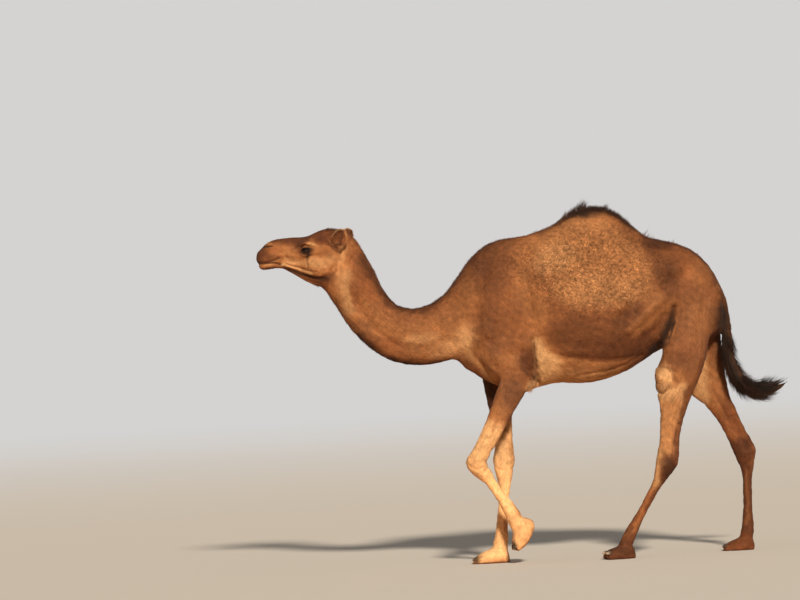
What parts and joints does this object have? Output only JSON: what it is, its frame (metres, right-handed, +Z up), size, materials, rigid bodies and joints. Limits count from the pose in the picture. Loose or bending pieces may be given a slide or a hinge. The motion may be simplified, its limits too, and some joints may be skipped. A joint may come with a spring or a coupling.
{
  "type": "dromedary camel",
  "caption": "Life-size still dromedary camel in a slow walk: long curved neck, one hump, padded feet, one forefoot lifted, tail swung back.",
  "frame": {"origin": "on the floor, under the middle of the model's box", "axes": "+Z up, -X the way the camel faces, -Y towards its left side"},
  "size_m": [3.1324, 0.5626, 2.0892],
  "materials": {
    "body_coat": "short brown hair with dark and yellowish patches and curly wool on the flanks, matt",
    "face_coat": "very short hair, tan cheeks with a dark grey-brown muzzle and forehead, soft sheen",
    "leg_coat": "short cream to tan hair, matt",
    "tail_hair": "long coarse grey-black hair",
    "eye": "dark, wet and glossy",
    "nail_horn": "worn pale horn"
  },
  "bodies": {
    "root": {"head": "face_coat", "neck": "body_coat", "trunk": "body_coat", "hump": "body_coat", "tail": "body_coat", "tail_tuft": "tail_hair", "ear_left": "face_coat", "ear_right": "face_coat", "eye_left": "eye", "eye_right": "eye", "foreleg_left_upper": "body_coat", "foreleg_left_lower": "leg_coat", "foreleg_right_upper": "body_coat", "foreleg_right_lower": "leg_coat", "hindleg_left_upper": "body_coat", "hindleg_left_lower": "leg_coat", "hindleg_right_upper": "body_coat", "hindleg_right_lower": "leg_coat", "forefoot_left": "leg_coat", "forefoot_right": "leg_coat", "hindfoot_left": "leg_coat", "hindfoot_right": "leg_coat", "nail_fore_left_inner": "nail_horn", "nail_fore_left_outer": "nail_horn", "nail_fore_right_inner": "nail_horn", "nail_fore_right_outer": "nail_horn", "nail_hind_left_inner": "nail_horn", "nail_hind_left_outer": "nail_horn", "nail_hind_right_inner": "nail_horn", "nail_hind_right_outer": "nail_horn"}
  },
  "joints": []
}
